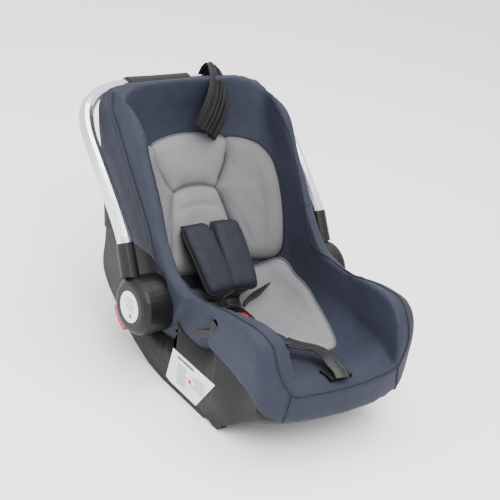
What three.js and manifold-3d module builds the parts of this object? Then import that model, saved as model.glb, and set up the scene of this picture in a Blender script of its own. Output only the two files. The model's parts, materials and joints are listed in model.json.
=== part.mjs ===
// Infant car seat: moulded rocker shell, padded cover, harness and swinging carry handle.
// Millimetres, +Z up, the child faces -Y and the child's right side is -X.
import * as THREE from 'three';
import { mergeVertices } from 'three/addons/utils/BufferGeometryUtils.js';
import Module from 'manifold-3d';

const wasm = await Module();
wasm.setup();

// ---- driving dimensions ------------------------------------------------------------------
const GAP = 0.3;                 // running gap between touching pieces
const LINING_GAP = 0.9;          // looser gap between layers of foam and cloth
const SHELL_HALF_WIDTH = 163;    // widest half width of the moulded shell
const SHELL_HEIGHT = 420;        // top of the moulded shell above the floor
const FOAM = 14;                 // energy absorbing foam
const COVER = 8;                 // padded cover inside the bucket
const SKIN = 4;                  // cover cloth outside the shell
const SHELL_WALL = 3.5;
const INSERT = 18;               // newborn insert, back and head
const SEAT_INSERT = 9;           // newborn insert, seat
const PIVOT_HEIGHT = 138;        // handle pivot above the floor
const HANDLE_HALF = 204;         // handle leg plane
const HANDLE_REACH = 314;        // grip centre behind the pivot
const HANDLE_RISE = 242;         // grip centre above the pivot
const TUBE_RADIUS = 12.5;
const SLEEVE_WALL = 1.6;
const GRIP_WALL = 4.5;
const GRIP_LENGTH = 128;
const HUB_RADIUS = 48;
const HUB_FACE_RADIUS = 36;
const HUB_OUTER = 216;           // outer face of the hub disc
const HUB_DEPTH = 20;
const AXLE_RADIUS = 8;
const STICKER_RADIUS = 26;
const LEVER_TRAVEL = 4;
const LEVER_PROUD = 9;
const RAIL_HALF_GAUGE = 140;     // rocker rail centre from the middle
const RAIL_WIDTH = 12;
const WEBBING_WIDTH = 36;
const WEBBING_THICKNESS = 1.8;
const PAD_WIDTH = 54;
const PAD_LENGTH = 122;
const PAD_THICKNESS = 18;
const BUCKLE_WIDTH = 46;
const BUCKLE_LENGTH = 54;
const BUCKLE_HEIGHT = 19;
const BUTTON_TRAVEL = 5;
const TAIL_WIDTH = 25;           // adjuster strap
const TAIL_THICKNESS = 1.8;
const LABEL_LENGTH = 108;
const LABEL_HEIGHT = 68;

const K = SHELL_HALF_WIDTH / 163;       // width scale of every shell station
const H = SHELL_HEIGHT / 420;           // height scale of every shell station
const INNER_WALL = FOAM + COVER;        // shell inner face to the cloth the child sees

// ---- materials ---------------------------------------------------------------------------
const paint = (color, roughness, metalness = 0) =>
  new THREE.MeshStandardMaterial({ color, roughness, metalness });
const NAVY = paint(0x3b4258, 0.85);
const GREY = paint(0x8f8e94, 0.9);
const BLACK_PLASTIC = paint(0x17171a, 0.5);
const BLACK_WEB = paint(0x141416, 0.8);
const FOAM_WHITE = paint(0xe6e6e2, 0.95);
const ALUMINIUM = paint(0xb9bcc2, 0.25, 0.95);
const GRIP_FOAM = paint(0x1c1b1c, 0.95);
const RED = paint(0xa81a20, 0.4);
const PAPER = paint(0xe9e9ec, 0.6);
const STEEL = paint(0x8c8f94, 0.35, 1);

// ---- solids ------------------------------------------------------------------------------
function toSolid(geometry) {
  const bare = geometry.clone();
  bare.deleteAttribute('normal');
  bare.deleteAttribute('uv');
  const merged = mergeVertices(bare, 1e-4);
  return new wasm.Manifold(new wasm.Mesh({
    numProp: 3,
    vertProperties: new Float32Array(merged.attributes.position.array),
    triVerts: new Uint32Array(merged.index.array),
  }));
}

function toGeometry(solid) {
  const mesh = solid.getMesh();
  const geometry = new THREE.BufferGeometry();
  geometry.setAttribute('position', new THREE.BufferAttribute(new Float32Array(mesh.vertProperties), 3));
  geometry.setIndex(new THREE.BufferAttribute(new Uint32Array(mesh.triVerts), 1));
  geometry.computeVertexNormals();
  return geometry;
}

// Skin between rings of equally many points, closed at both ends by the given cap triangles.
// Quads before the middle ring are split the other way, so that a symmetric skin stays symmetric.
function loft(rings, capTriangles, middle = 0) {
  const count = rings[0].length;
  const positions = rings.flat().flatMap((p) => [p.x, p.y, p.z]);
  const index = [];
  for (let r = 0; r < rings.length - 1; r += 1) {
    for (let i = 0; i < count; i += 1) {
      const a = r * count + i;
      const b = r * count + ((i + 1) % count);
      if (r < middle) index.push(a, b, a + count, b, b + count, a + count);
      else index.push(a, b, b + count, a, b + count, a + count);
    }
  }
  const last = (rings.length - 1) * count;
  for (const [a, b, c] of capTriangles) {
    index.push(a, c, b);
    index.push(last + a, last + b, last + c);
  }
  const geometry = new THREE.BufferGeometry();
  geometry.setAttribute('position', new THREE.BufferAttribute(new Float32Array(positions), 3));
  geometry.setIndex(index);
  return toSolid(geometry);
}

const fan = (count) => Array.from({ length: count - 2 }, (_, i) => [0, i + 1, i + 2]);

// A block across the whole width: each outline point is [y, z, half width, edge rounding].
const RING_STEPS = [-1, -0.94, -0.74, -0.4, 0.4, 0.74, 0.94, 1];
const ROUNDING_POWER = 2.4;

function barrel(outline, grow) {
  const flat = outline.map(([y, z]) => new THREE.Vector2(y, z));
  const outward = flat.map((_, i) => {
    const before = flat[(i + flat.length - 1) % flat.length].clone().sub(flat[i]).normalize().add(flat[i]);
    const after = flat[(i + 1) % flat.length].clone().sub(flat[i]).normalize().add(flat[i]);
    const run = after.clone().sub(before).normalize();
    const edgeRun = after.clone().sub(flat[i]).normalize();
    const miter = 1 / Math.max(Math.abs(run.dot(edgeRun)), 0.6);
    return new THREE.Vector2(run.y * miter, -run.x * miter);
  });
  const rings = RING_STEPS.map((u) => {
    const edge = 1 - (1 - Math.abs(u) ** ROUNDING_POWER) ** (1 / ROUNDING_POWER);
    return outline.map(([y, z, half, round], i) => {
      const out = grow - Math.max(round + grow, 0) * edge;
      return new THREE.Vector3((half + grow) * u, y + outward[i].x * out, z + outward[i].y * out);
    });
  });
  const caps = THREE.ShapeUtils.triangulateShape(rings[0].map((p) => new THREE.Vector2(p.y, p.z)), []);
  return loft(rings, caps, (RING_STEPS.length - 1) / 2);
}

const scaled = (outline) => outline.map(([y, z, half, round]) => [y, z * H, half * K, round]);

function box(x0, x1, y0, y1, z0, z1) {
  const geometry = new THREE.BoxGeometry(x1 - x0, y1 - y0, z1 - z0);
  geometry.translate((x0 + x1) / 2, (y0 + y1) / 2, (z0 + z1) / 2);
  return toSolid(geometry);
}

// A round bar along X.
function barX(radius, x0, x1, y, z, sides = 32) {
  const geometry = new THREE.CylinderGeometry(radius, radius, x1 - x0, sides);
  geometry.rotateZ(Math.PI / 2);
  geometry.translate((x0 + x1) / 2, y, z);
  return toSolid(geometry);
}

// A side-view polygon pushed across the width from x0 to x1.
function sideBlock(points, x0, x1) {
  const shape = new THREE.Shape(points.map(([y, z]) => new THREE.Vector2(y, z)));
  const geometry = new THREE.ExtrudeGeometry(shape, { depth: x1 - x0, bevelEnabled: false });
  // shape x -> Y, shape y -> Z, depth -> X
  geometry.applyMatrix4(new THREE.Matrix4().set(0, 0, 1, x0, 1, 0, 0, 0, 0, 1, 0, 0, 0, 0, 0, 1));
  return toSolid(geometry);
}

// A tube of constant radius along a smooth path.
function tube(points, radius, steps, sides) {
  const curve = new THREE.CatmullRomCurve3(points, false, 'centripetal');
  const ring = Array.from({ length: sides }, (_, i) => {
    const angle = (i / sides) * Math.PI * 2;
    return new THREE.Vector2(Math.cos(angle) * radius, Math.sin(angle) * radius);
  });
  return toSolid(new THREE.ExtrudeGeometry(new THREE.Shape(ring), {
    steps, extrudePath: curve, bevelEnabled: false,
  }));
}

// Flat webbing: width along `across`, thickness square to it, along a smooth path.
function ribbon(points, width, thickness, across, steps) {
  const curve = new THREE.CatmullRomCurve3(points, false, 'centripetal');
  const rings = [];
  for (let i = 0; i <= steps; i += 1) {
    const at = curve.getPoint(i / steps);
    const along = curve.getTangent(i / steps);
    const normal = new THREE.Vector3().crossVectors(along, across).normalize();
    const side = new THREE.Vector3().crossVectors(normal, along).normalize();
    rings.push([[1, 1], [-1, 1], [-1, -1], [1, -1]].map(([s, n]) =>
      at.clone().addScaledVector(side, (s * width) / 2).addScaledVector(normal, (n * thickness) / 2)));
  }
  return loft(rings, fan(4));
}

// A cushion: rounded rectangle, softened edges, centred, lying in its own XY plane.
function cushion(width, length, thickness, corner, soft) {
  const w = width / 2 - soft;
  const l = length / 2 - soft;
  const c = Math.min(corner, w, l);
  const shape = new THREE.Shape();
  shape.moveTo(-w + c, -l);
  shape.lineTo(w - c, -l);
  shape.quadraticCurveTo(w, -l, w, -l + c);
  shape.lineTo(w, l - c);
  shape.quadraticCurveTo(w, l, w - c, l);
  shape.lineTo(-w + c, l);
  shape.quadraticCurveTo(-w, l, -w, l - c);
  shape.lineTo(-w, -l + c);
  shape.quadraticCurveTo(-w, -l, -w + c, -l);
  const geometry = new THREE.ExtrudeGeometry(shape, {
    depth: thickness - 2 * soft, bevelThickness: soft, bevelSize: soft, bevelSegments: 2, curveSegments: 4,
  });
  geometry.translate(0, 0, -(thickness - 2 * soft) / 2);
  return toSolid(geometry);
}

// Turns a solid made in its own XY plane so that its +Y runs along `run` and its +X along `across`.
function placed(solid, centre, run, across) {
  const x = across.clone().normalize();
  const y = run.clone().normalize();
  const z = new THREE.Vector3().crossVectors(x, y).normalize();
  const m = new THREE.Matrix4().makeBasis(x, y, z).setPosition(centre);
  return solid.transform(m.toArray());
}

const v = (x, y, z) => new THREE.Vector3(x, y, z);
const X_AXIS = v(1, 0, 0);
const mirrored = (solid) => solid.scale([-1, 1, 1]);

// ---- shell stations ----------------------------------------------------------------------
// Outside of the moulded shell, from the front lip under the seat, up the back, over the head
// and down along the rim: [y, z, half width, edge rounding].
const OUTER = scaled([
  [-300, 108, 112, 6], [-302, 82, 112, 6], [-288, 66, 116, 6], [-236, 38, 132, 6], [-196, 14, 144, 5],
  [-150, 8, 148, 4], [-30, 8, 148, 4], [20, 14, 150, 4], [70, 30, 154, 5], [116, 62, 158, 6],
  [158, 94, 160, 6], [178, 118, 160, 8], [184, 172, 160, 10], [203, 240, 161, 14], [229, 302, 162, 20],
  [246, 350, 162, 18], [252, 388, 160, 14], [246, 410, 159, 10], [230, 420, 158, 8], [208, 420, 158, 8],
  [168, 408, 158, 8], [126, 386, 160, 8], [93, 346, 161, 10], [53, 294, 162, 8], [-2, 226, 163, 8],
  [-38, 199, 163, 8], [-95, 193, 162, 8], [-180, 207, 159, 8], [-232, 212, 153, 8],
  [-262, 198, 143, 8], [-285, 168, 130, 8], [-297, 134, 116, 8],
]);
// Inside of the moulded shell; the points far above the rim only open the bucket upwards.
const INNER = scaled([
  [-345, 100, 104, 4], [-296, 97, 104, 12], [-262, 102, 118, 24], [-200, 79, 136, 44], [-121, 57, 150, 60],
  [-50, 39, 154, 70], [-3, 33, 155, 74], [52, 45, 155, 74], [92, 80, 155, 74], [119, 119, 155, 74],
  [153, 178, 155, 74], [224, 304, 153, 70], [237, 345, 150, 56], [241, 385, 147, 44], [236, 470, 145, 20],
  [60, 560, 140, 10], [-200, 480, 140, 10], [-345, 300, 104, 4],
]);

// Seen from the front, the head end is rounded off by an arc at each shoulder.
const SHOULDER_RADIUS = 70;
function shoulderBlock(grow) {
  const half = SHELL_HALF_WIDTH + 6 + grow;
  const top = SHELL_HEIGHT + grow;
  const shape = new THREE.Shape();
  shape.moveTo(-half, -200);
  shape.lineTo(half, -200);
  shape.lineTo(half, top - SHOULDER_RADIUS);
  shape.absarc(half - SHOULDER_RADIUS, top - SHOULDER_RADIUS, SHOULDER_RADIUS, 0, Math.PI / 2);
  shape.absarc(SHOULDER_RADIUS - half, top - SHOULDER_RADIUS, SHOULDER_RADIUS, Math.PI / 2, Math.PI);
  const geometry = new THREE.ExtrudeGeometry(shape, { depth: 900, bevelEnabled: false, curveSegments: 8 });
  geometry.rotateX(Math.PI / 2);
  geometry.translate(0, 450, 0);
  return toSolid(geometry);
}
const outerBody = (grow) => barrel(OUTER, grow).intersect(shoulderBlock(grow));
const innerBody = (shrink) => barrel(INNER, -shrink);
const cabin = innerBody(INNER_WALL);

// A layer of the lining between two depths below the shell's inner face, cut off at the rim.
const layer = (near, far) => innerBody(near + LINING_GAP).subtract(innerBody(far)).intersect(outerBody(0));

const WIDE = 400 * K;
const slabX = (x0, x1) => box(x0, x1, -600, 600, -200, 900);

// Where the seat part of the lining ends and its back part begins, as a side-view line.
const BIGHT = [[-30, -50], [40, 62], [-30, 160], [-70, 260]].map(([y, z]) => [y, z * H]);
const seatZone = (inset) => sideBlock(
  [[-500, -50], [BIGHT[0][0] - inset, BIGHT[0][1]], [BIGHT[1][0] - inset, BIGHT[1][1]],
    [BIGHT[2][0] - inset, BIGHT[2][1]], [BIGHT[3][0] - inset, BIGHT[3][1]], [-500, 260 * H]], -WIDE, WIDE);
const backZone = (inset) => sideBlock(
  [[600, -50], [600, 600], [BIGHT[3][0] + inset, 600], [BIGHT[3][0] + inset, BIGHT[3][1]],
    [BIGHT[2][0] + inset, BIGHT[2][1]], [BIGHT[1][0] + inset, BIGHT[1][1]],
    [BIGHT[0][0] + inset, BIGHT[0][1]]], -WIDE, WIDE);

// ---- harness route -----------------------------------------------------------------------
// The back leans along BACK_RUN; BACK_NORMAL points out of it towards the child.
const BACK_RUN = v(0, 71, 126 * H).normalize();
const BACK_NORMAL = v(0, -BACK_RUN.z, BACK_RUN.y);
const BACK_POINT = v(0, 153, 178 * H).addScaledVector(BACK_NORMAL, INNER_WALL);
const PAD_TOP = v(32, 100, BACK_POINT.z + 16);
const PAD_RUN = v(-8, -98, -80).normalize();
const PAD_CENTRE = PAD_TOP.clone().addScaledVector(PAD_RUN, PAD_LENGTH / 2);
const SEAT_TOP = 36 * H + INNER_WALL + SEAT_INSERT;     // seat insert's face below the buckle
const BUCKLE_CENTRE = v(0, -20, SEAT_TOP + BUCKLE_HEIGHT / 2 + 5);
const BUCKLE_TOP = BUCKLE_CENTRE.z + BUCKLE_HEIGHT / 2;
const TONGUE_Y = BUCKLE_CENTRE.y + BUCKLE_LENGTH / 2;
const CROTCH_SLOT_Y = -128;
const ADJUSTER_Y = -268;
const ADJUSTER_TOP = 128 * H;

const SPLITTER_Z = 132 * H;
const RECESS_FACE = 168;
const shoulderPath = [
  v(22, RECESS_FACE + 4, SPLITTER_Z + 16),
  v(26, RECESS_FACE + 4, SPLITTER_Z + 28),
  BACK_POINT.clone().addScaledVector(BACK_NORMAL, -32).setX(31),
  BACK_POINT.clone().addScaledVector(BACK_NORMAL, -10).setX(32),
  BACK_POINT.clone().addScaledVector(BACK_NORMAL, INSERT + 2).setX(32),
  PAD_TOP.clone().addScaledVector(PAD_RUN, 6),
  PAD_CENTRE,
  PAD_TOP.clone().addScaledVector(PAD_RUN, PAD_LENGTH),
  v(20, TONGUE_Y + 20, BUCKLE_CENTRE.z + 14),
  v(17, TONGUE_Y + 8, BUCKLE_CENTRE.z + 4),
];
const shoulderStrap = (extra) =>
  ribbon(shoulderPath, 30 + extra, WEBBING_THICKNESS + extra, X_AXIS, 30);

const lapPath = [v(150 * K, 66, 92 * H), v(128 * K, 48, 90 * H), v(90 * K, 30, 94 * H),
  v(56, 20, BUCKLE_CENTRE.z + 10), v(36.5, TONGUE_Y + 6, BUCKLE_CENTRE.z + 2)];
const lapStrap = (extra) =>
  ribbon(lapPath, 26 + extra, WEBBING_THICKNESS + extra, v(-0.25, -0.35, 0.9), 14);

const crotchPath = [
  v(0, CROTCH_SLOT_Y, 40 * H), v(0, CROTCH_SLOT_Y, 72 * H), v(0, CROTCH_SLOT_Y + 3, 90 * H),
  v(0, CROTCH_SLOT_Y + 16, 94 * H), v(0, -80, 87.5 * H),
  v(0, BUCKLE_CENTRE.y - BUCKLE_LENGTH / 2 - 0.5, BUCKLE_CENTRE.z),
];
const crotchStrap = (extra) =>
  ribbon(crotchPath, WEBBING_WIDTH + extra, WEBBING_THICKNESS + extra, X_AXIS, 20);

// The free end of the adjuster strap lies on the seat, from the adjuster back to the crotch pad.
const TAIL_ROUTE = [
  [0, -256, 136], [3, -248, 136.5], [8, -236, 134.5], [14, -224, 130.5], [19, -210, 126],
  [21, -196, 122.5], [19, -182, 119], [14, -169, 115.5], [9, -157, 112.5], [5, -146, 110.5], [3, -138, 109.5],
].map(([x, y, z]) => v(x, y, z * H));

// ---- the group ---------------------------------------------------------------------------
const seat = new THREE.Group();
const handle = new THREE.Group();
seat.add(handle);

function add(name, solid, material, parent = seat) {
  const mesh = new THREE.Mesh(toGeometry(solid), material);
  mesh.name = name;
  parent.add(mesh);
  return mesh;
}

function addPair(name, leftSolid, material, parent = seat) {
  add(`${name}_left`, leftSolid, material, parent);
  add(`${name}_right`, mirrored(leftSolid), material, parent);
}

// ---- pivots ------------------------------------------------------------------------------
const PIVOT_Z = PIVOT_HEIGHT * H;
const BOSS_INNER = SHELL_HALF_WIDTH - 3;
const BOSS_WALL = 4;
const SHELL_INNER_HALF = 155 * K;        // inner face of the shell's side wall
const DISC_INNER = HUB_OUTER - HUB_DEPTH;
const BOSS_OUTER = DISC_INNER - GAP;
const AXLE_HEAD = 15;

const bossPocket = barX(HUB_RADIUS + GAP, BOSS_INNER - GAP, 400, 0, PIVOT_Z, 32);
const axleBore = barX(AXLE_RADIUS + 0.1, BOSS_INNER - 30, HUB_OUTER - 5, 0, PIVOT_Z, 24);
const bossHollow = barX(HUB_RADIUS - BOSS_WALL, BOSS_INNER - 1, BOSS_OUTER - BOSS_WALL, 0, PIVOT_Z, 32)
  .subtract(barX(AXLE_RADIUS + BOSS_WALL, BOSS_INNER - 2, BOSS_OUTER, 0, PIVOT_Z, 24));
const boss = barX(HUB_RADIUS, BOSS_INNER, BOSS_OUTER, 0, PIVOT_Z, 32)
  .subtract(bossHollow).subtract(axleBore);

const discProfile = [
  [0, HUB_OUTER - 1.2], [STICKER_RADIUS + GAP, HUB_OUTER - 1.2], [STICKER_RADIUS + GAP, HUB_OUTER],
  [HUB_FACE_RADIUS, HUB_OUTER], [HUB_FACE_RADIUS + 5, HUB_OUTER - 2], [HUB_RADIUS - 2, HUB_OUTER - 7],
  [HUB_RADIUS, HUB_OUTER - 11], [HUB_RADIUS, DISC_INNER], [0, DISC_INNER],
].map(([r, x]) => new THREE.Vector2(r, x)).reverse();
const discGeometry = new THREE.LatheGeometry(discProfile, 32);
discGeometry.rotateZ(-Math.PI / 2);
discGeometry.translate(0, 0, PIVOT_Z);

// The red release lever sits in a pocket in the disc's rim, low at the back.
const LEVER_ANGLE = -50 * (Math.PI / 180);
const LEVER_SPREAD = 46 * (Math.PI / 180);
const LEVER_ROOT = 36;
const LEVER_X0 = DISC_INNER + 2;
const LEVER_X1 = HUB_OUTER - 7.5;
function arcBlock(r0, r1, spread, x0, x1) {
  const steps = 8;
  const ring = [];
  for (let i = 0; i <= steps; i += 1) {
    const angle = LEVER_ANGLE - spread / 2 + (spread * i) / steps;
    ring.push([Math.cos(angle) * r1, PIVOT_Z + Math.sin(angle) * r1]);
  }
  for (let i = steps; i >= 0; i -= 1) {
    const angle = LEVER_ANGLE - spread / 2 + (spread * i) / steps;
    ring.push([Math.cos(angle) * r0, PIVOT_Z + Math.sin(angle) * r0]);
  }
  return sideBlock(ring, x0, x1);
}
const LEVER_CLEARANCE = 0.8 / HUB_RADIUS;
const lever = arcBlock(LEVER_ROOT, HUB_RADIUS + LEVER_PROUD, LEVER_SPREAD, LEVER_X0, LEVER_X1);
const leverPocket = arcBlock(
  LEVER_ROOT - LEVER_TRAVEL - 6, HUB_RADIUS + 30, LEVER_SPREAD + 2 * LEVER_CLEARANCE + 0.12,
  LEVER_X0 - GAP, LEVER_X1 + GAP);
const leverOut = v(0, Math.cos(LEVER_ANGLE), Math.sin(LEVER_ANGLE));
const springSpan = [LEVER_ROOT - LEVER_TRAVEL - 5.5, LEVER_ROOT - LEVER_TRAVEL - 0.5];
const springCentre = v((LEVER_X0 + LEVER_X1) / 2, 0, PIVOT_Z)
  .addScaledVector(leverOut, (springSpan[0] + springSpan[1]) / 2);
const leverSpring = placed(
  toSolid(new THREE.CylinderGeometry(3.4, 3.4, springSpan[1] - springSpan[0], 16)),
  springCentre, leverOut, X_AXIS);

const axle = barX(AXLE_RADIUS, SHELL_INNER_HALF - 1, HUB_OUTER - 6, 0, PIVOT_Z, 24)
  .add(barX(AXLE_HEAD, SHELL_INNER_HALF - 7, SHELL_INNER_HALF - GAP, 0, PIVOT_Z, 24));

// ---- handle ------------------------------------------------------------------------------
const REACH = HANDLE_REACH / 314;
const RISE = HANDLE_RISE / 242;
const handlePoint = (x, y, z) => v(x, y * REACH, PIVOT_Z + (z - 138) * RISE);
const LEG_SCALE = HANDLE_HALF / 204;
const SLEEVE_RUN = v(0, 35.6 * REACH, 58 * RISE).normalize();
const sleeveAt = (distance) => v(HANDLE_HALF, 0, PIVOT_Z).addScaledVector(SLEEVE_RUN, distance);
const SLEEVE_START = HUB_RADIUS - 8;
const SLEEVE_END = 102;
const TUBE_START = SLEEVE_END - 42;
const handleLeg = [
  sleeveAt(TUBE_START), sleeveAt(SLEEVE_END - 6), sleeveAt(SLEEVE_END + 4),
  handlePoint(203 * LEG_SCALE, 76, 248), handlePoint(203 * LEG_SCALE, 114, 281),
  handlePoint(203 * LEG_SCALE, 160, 318), handlePoint(197 * LEG_SCALE, 212, 352),
  handlePoint(182 * LEG_SCALE, 246, 371), handlePoint(156 * LEG_SCALE, 271, 381),
  handlePoint(122 * LEG_SCALE, 290, 385), handlePoint(88 * LEG_SCALE, 303, 385),
];
const gripMiddle = handlePoint(0, 314, 380);
const gripHalf = GRIP_LENGTH / 2;
const gripEnd = handlePoint(gripHalf, 310.5, 382);
const mirroredPoint = (p) => v(-p.x, p.y, p.z);
const handleRoute = [...handleLeg, gripEnd, gripMiddle, mirroredPoint(gripEnd),
  ...handleLeg.map(mirroredPoint).reverse()];
const TUBE_WALL = 1.6;
const handleTube = tube(handleRoute, TUBE_RADIUS, 60, 12)
  .subtract(tube(handleRoute, TUBE_RADIUS - TUBE_WALL, 60, 8));
const gripRoute = [gripEnd, gripMiddle, mirroredPoint(gripEnd)];
const gripBore = tube(handleRoute, TUBE_RADIUS + GAP, 60, 12);
const grip = tube(gripRoute, TUBE_RADIUS + GRIP_WALL, 8, 16).subtract(gripBore);

const SLEEVE_RADIUS = TUBE_RADIUS + SLEEVE_WALL;
const sleeveBody = placed(
  toSolid(new THREE.CylinderGeometry(SLEEVE_RADIUS, SLEEVE_RADIUS + 1.2, SLEEVE_END - SLEEVE_START, 24)),
  sleeveAt((SLEEVE_START + SLEEVE_END) / 2), SLEEVE_RUN, X_AXIS);
const sleeveBore = placed(
  toSolid(new THREE.CylinderGeometry(TUBE_RADIUS + GAP, TUBE_RADIUS + GAP, 60, 24)),
  sleeveAt(TUBE_START - GAP + 30), SLEEVE_RUN, X_AXIS);
const sleeve = sleeveBody
  .subtract(sleeveBore)
  .subtract(barX(HUB_RADIUS + GAP, HANDLE_HALF - 60, HUB_OUTER + 40, 0, PIVOT_Z, 40));

// ---- canopy cloth tied round the handle --------------------------------------------------
const CLOTH_X = 104 * LEG_SCALE;
const clothLoop = tube([handlePoint(CLOTH_X - 10, 299, 385), handlePoint(CLOTH_X, 297, 385),
  handlePoint(CLOTH_X + 10, 294, 385)], TUBE_RADIUS + 5, 4, 14).subtract(gripBore);
// Stations of the gathered cloth: [x, y, z, half width, half thickness], from the knot to its hem.
const CLOTH_STATIONS = [
  [CLOTH_X - 2, 292, 401, 12, 7], [CLOTH_X - 8, 270, 428, 13, 7], [CLOTH_X - 16, 246, 440, 14, 7],
  [CLOTH_X - 26, 222, 444, 16, 7], [CLOTH_X - 36, 200, 439, 18, 7], [CLOTH_X - 46, 188, 416, 22, 8],
  [CLOTH_X - 56, 187, 386, 26, 8], [CLOTH_X - 64, 188, 350, 30, 6],
];
const clothTail = (() => {
  const centres = CLOTH_STATIONS.map(([x, y, z]) => handlePoint(x, y, z));
  const curve = new THREE.CatmullRomCurve3(centres);
  const rings = CLOTH_STATIONS.map(([, , , half, thick], i) => {
    const along = curve.getTangent(i / (centres.length - 1));
    const normal = new THREE.Vector3().crossVectors(along, X_AXIS).normalize();
    const side = new THREE.Vector3().crossVectors(normal, along).normalize();
    return Array.from({ length: 12 }, (_, k) => {
      const angle = (k / 12) * Math.PI * 2;
      return centres[i].clone().addScaledVector(side, Math.cos(angle) * half)
        .addScaledVector(normal, Math.sin(angle) * thick);
    });
  });
  return loft(rings, fan(12));
})();

// ---- shell -------------------------------------------------------------------------------
// The label lies in a shallow recess low on the right side wall, which leans out a little.
const WALL_FOOT = OUTER[6];
const WALL_RIM = OUTER.find(([y]) => y === -95);
const wallLean = Math.atan2(WALL_RIM[2] - WALL_FOOT[2], WALL_RIM[1] - WALL_FOOT[1]);
const LABEL_Y = -98;
const LABEL_Z = 46 * H;
function labelBlock(length, height, thickness, sink) {
  const half = WALL_FOOT[2] + (LABEL_Z - WALL_FOOT[1]) * Math.tan(wallLean) - sink;
  return placed(toSolid(new THREE.BoxGeometry(length, height, thickness)),
    v(-half, LABEL_Y, LABEL_Z), v(-Math.sin(wallLean), 0, Math.cos(wallLean)), v(0, -1, 0));
}
const undersideHollow = sideBlock([
  [-214, -40], [-214, 36], [-190, 58], [-121, 44], [-50, 28], [0, 24], [40, 30], [58, 40], [58, -40],
].map(([y, z]) => [y, z * H]), -136 * K, 136 * K);
// The moulding is a thin outside and a thin seat pan with air between them, open at the bottom.
const HOLLOW_ZONE = [[-284, -60], [-284, 186], [120, 186], [206, 214], [206, -60]]
  .map(([y, z]) => [y, z * H]);
const hollow = outerBody(-SHELL_WALL).subtract(innerBody(-SHELL_WALL))
  .intersect(sideBlock(HOLLOW_ZONE, -WIDE, WIDE)).add(undersideHollow);
const harnessRecess = box(-64, 64, RECESS_FACE, 260, 104 * H, 190 * H);
const adjusterPocket = box(-25, 25, ADJUSTER_Y - 17, ADJUSTER_Y + 17, ADJUSTER_TOP - 42, ADJUSTER_TOP + 60);

// The side window: a recess where the vehicle belt passes through its guide.
const WINDOW = [[-66, 184], [-52, 132], [-92, 118], [-140, 124], [-166, 150], [-166, 186]]
  .map(([y, z]) => [y, z * H]);
const WINDOW_DEPTH = 7;
const windowPocket = (x0) => sideBlock(WINDOW, x0, x0 + 60);
const windowFloor = (SHELL_HALF_WIDTH - 6) - WINDOW_DEPTH;

const strapCuts = [shoulderStrap(1.6), mirrored(shoulderStrap(1.6)), lapStrap(1.4), mirrored(lapStrap(1.4)),
  crotchStrap(1.6)];
const cutForStraps = (solid) => strapCuts.reduce((rest, cut) => rest.subtract(cut), solid);

const railPath = [[-192, 9], [-186, 3], [-172, 1.5], [-160, 5], [-154, 5], [-146, 0], [-28, 0], [18, 6],
  [68, 22], [112, 54], [150, 84], [140, 92], [106, 68], [66, 40], [18, 22], [-28, 16], [-192, 16]]
  .map(([y, z]) => [y, z * H]);
const rail = sideBlock(railPath, RAIL_HALF_GAUGE * K - RAIL_WIDTH / 2, RAIL_HALF_GAUGE * K + RAIL_WIDTH / 2);
const railSlot = sideBlock(railPath.map(([y, z], i) => (i < 10 ? [y, z - 30] : [y, z + GAP])),
  RAIL_HALF_GAUGE * K - RAIL_WIDTH / 2 - GAP, RAIL_HALF_GAUGE * K + RAIL_WIDTH / 2 + GAP);

// Between the rails, a foot keeps the seat from rocking back while it stands.
const FOOT_HALF = 70 * K;
const rearFoot = sideBlock([[62, 0], [92, 0], [98, 5], [98, 60], [62, 60]].map(([y, z]) => [y, z * H]),
  -FOOT_HALF, FOOT_HALF).subtract(outerBody(GAP));

let shell = outerBody(0)
  .subtract(innerBody(0))
  .subtract(hollow)
  .subtract(harnessRecess)
  .subtract(adjusterPocket)
  .subtract(bossPocket)
  .subtract(mirrored(bossPocket))
  .subtract(axleBore)
  .subtract(mirrored(axleBore))
  .subtract(windowPocket(windowFloor))
  .subtract(mirrored(windowPocket(windowFloor)))
  .subtract(labelBlock(LABEL_LENGTH + 1, LABEL_HEIGHT + 1, 6, -2.4))
  .subtract(railSlot)
  .subtract(mirrored(railSlot));
shell = cutForStraps(shell);
add('shell', shell, BLACK_PLASTIC);
addPair('rocker_rail', rail, BLACK_PLASTIC);
add('rear_foot', rearFoot, BLACK_PLASTIC);
addPair('pivot_boss', boss, BLACK_PLASTIC);
addPair('pivot_axle', axle, STEEL);

// ---- belt guides -------------------------------------------------------------------------
const guide = sideBlock([[-150, 176], [-146, 152], [-112, 132], [-74, 136], [-72, 146], [-108, 146],
  [-134, 160], [-138, 180]].map(([y, z]) => [y, z * H]), windowFloor + GAP, windowFloor + WINDOW_DEPTH - 0.5);
addPair('belt_guide', guide, BLACK_PLASTIC);

// ---- lining ------------------------------------------------------------------------------
const axleHeadRoom = barX(AXLE_HEAD + 1.5, 60 * K, SHELL_HALF_WIDTH + 20, 0, PIVOT_Z, 24);
const clearOfAxles = (solid) => solid.subtract(axleHeadRoom).subtract(mirrored(axleHeadRoom));
const foamLayer = clearOfAxles(cutForStraps(layer(0, FOAM)).subtract(adjusterPocket));
add('foam_back', foamLayer.intersect(backZone(0)), FOAM_WHITE);
add('foam_seat', foamLayer.intersect(seatZone(GAP)), FOAM_WHITE);

const BACK_PANEL_HALF = 104 * K;
const coverLayer = cutForStraps(layer(FOAM, INNER_WALL)).subtract(adjusterPocket);
const coverBack = coverLayer.intersect(backZone(0));
const coverSeat = coverLayer.intersect(seatZone(GAP));
add('cover_back', coverBack.intersect(slabX(-BACK_PANEL_HALF, BACK_PANEL_HALF)), NAVY);
addPair('cover_wing', coverBack.intersect(slabX(BACK_PANEL_HALF + GAP, WIDE)), NAVY);
add('cover_seat', coverSeat, NAVY);

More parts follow.
